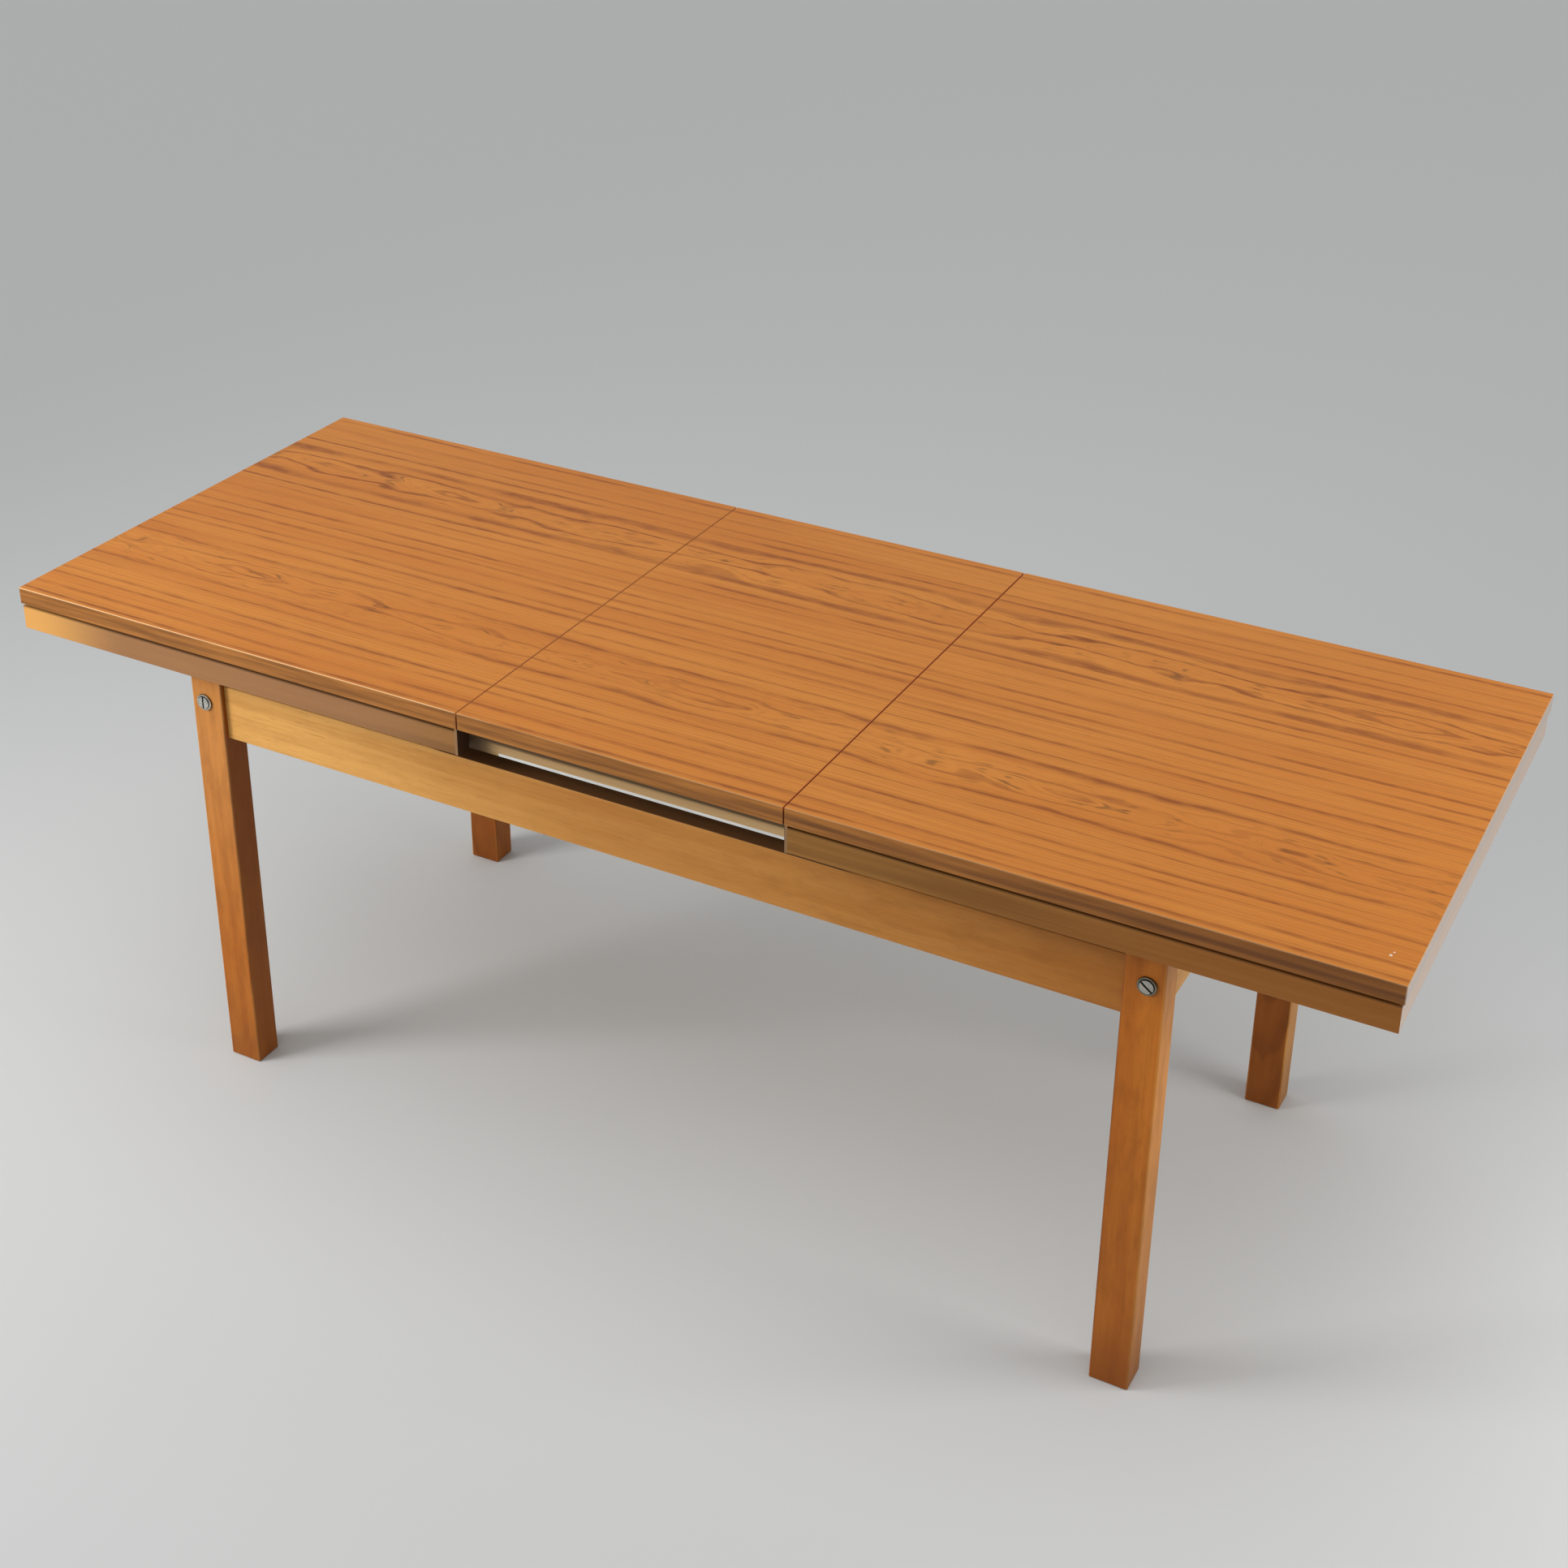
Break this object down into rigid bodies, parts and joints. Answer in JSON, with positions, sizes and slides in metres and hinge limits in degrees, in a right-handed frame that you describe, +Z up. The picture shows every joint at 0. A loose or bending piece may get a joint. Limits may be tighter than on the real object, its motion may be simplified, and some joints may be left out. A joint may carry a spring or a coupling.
{
  "type": "extending coffee table",
  "caption": "Rectangular extending coffee table: veneered end tops slide apart on runners over a bolted leg frame and meet a lift-out middle leaf.",
  "frame": {"origin": "on the floor, under the middle of the opened table", "axes": "+X along the length to the right as seen from the front, +Y from the front to the back, +Z up"},
  "size_m": [1.45, 0.543, 0.536],
  "materials": {
    "veneer": "semi-gloss lacquered teak veneer, grain along the length",
    "frieze_wood": "satin teak veneer on edge boards",
    "lipping_wood": "thin pale hardwood lipping",
    "leg_wood": "satin stained hardwood",
    "apron_wood": "satin golden hardwood",
    "beech": "raw beech",
    "sole_aluminium": "drawn aluminium strip",
    "nickel_steel": "nickel-plated steel",
    "screw_steel": "zinc-plated steel"
  },
  "bodies": {
    "base": {"apron_dowels": "beech", "apron_front": "apron_wood", "apron_rear": "apron_wood", "barrel_nuts": "screw_steel", "bolt_cup_washers": "nickel_steel", "connector_bolts": "nickel_steel", "cross_rail_dowels": "beech", "cross_rail_left": "beech", "cross_rail_right": "beech", "end_rail_dowels": "beech", "end_rail_left": "apron_wood", "end_rail_right": "apron_wood", "guide_rail_front": "beech", "guide_rail_rear": "beech", "guide_rail_screws": "screw_steel", "leg_front_left": "leg_wood", "leg_front_right": "leg_wood", "leg_rear_left": "leg_wood", "leg_rear_right": "leg_wood"},
    "left_top": {"left_frieze_end": "frieze_wood", "left_frieze_front": "frieze_wood", "left_frieze_glue_blocks": "beech", "left_frieze_lippings": "lipping_wood", "left_frieze_rear": "frieze_wood", "left_panel": "veneer", "left_runner_front": "beech", "left_runner_rear": "beech", "left_runner_screws": "screw_steel", "left_runner_sole_front": "sole_aluminium", "left_runner_sole_rear": "sole_aluminium", "left_runner_stops": "beech", "left_slide_bar": "beech", "left_slide_bar_screws": "screw_steel", "left_slide_sole": "sole_aluminium", "left_sole_screws": "screw_steel", "left_stop_screws": "screw_steel"},
    "right_top": {"right_frieze_end": "frieze_wood", "right_frieze_front": "frieze_wood", "right_frieze_glue_blocks": "beech", "right_frieze_lippings": "lipping_wood", "right_frieze_rear": "frieze_wood", "right_panel": "veneer", "right_runner_front": "beech", "right_runner_rear": "beech", "right_runner_screws": "screw_steel", "right_runner_sole_front": "sole_aluminium", "right_runner_sole_rear": "sole_aluminium", "right_runner_stops": "beech", "right_slide_bar": "beech", "right_slide_bar_screws": "screw_steel", "right_slide_sole": "sole_aluminium", "right_sole_screws": "screw_steel", "right_stop_screws": "screw_steel"},
    "leaf": {"leaf_cleat_screws": "screw_steel", "leaf_cleats": "beech", "leaf_panel": "veneer"}
  },
  "joints": [
    {"name": "left_top_slide", "type": "slide", "parent": "base", "child": "left_top", "axis": [-1, 0, 0], "range_m": [0, 0.03]},
    {"name": "right_top_slide", "type": "slide", "parent": "base", "child": "right_top", "axis": [1, 0, 0], "range_m": [0, 0.03]},
    {"name": "leaf_lift", "type": "slide", "parent": "base", "child": "leaf", "axis": [0, 0, 1], "range_m": [0, 0.15]}
  ]
}
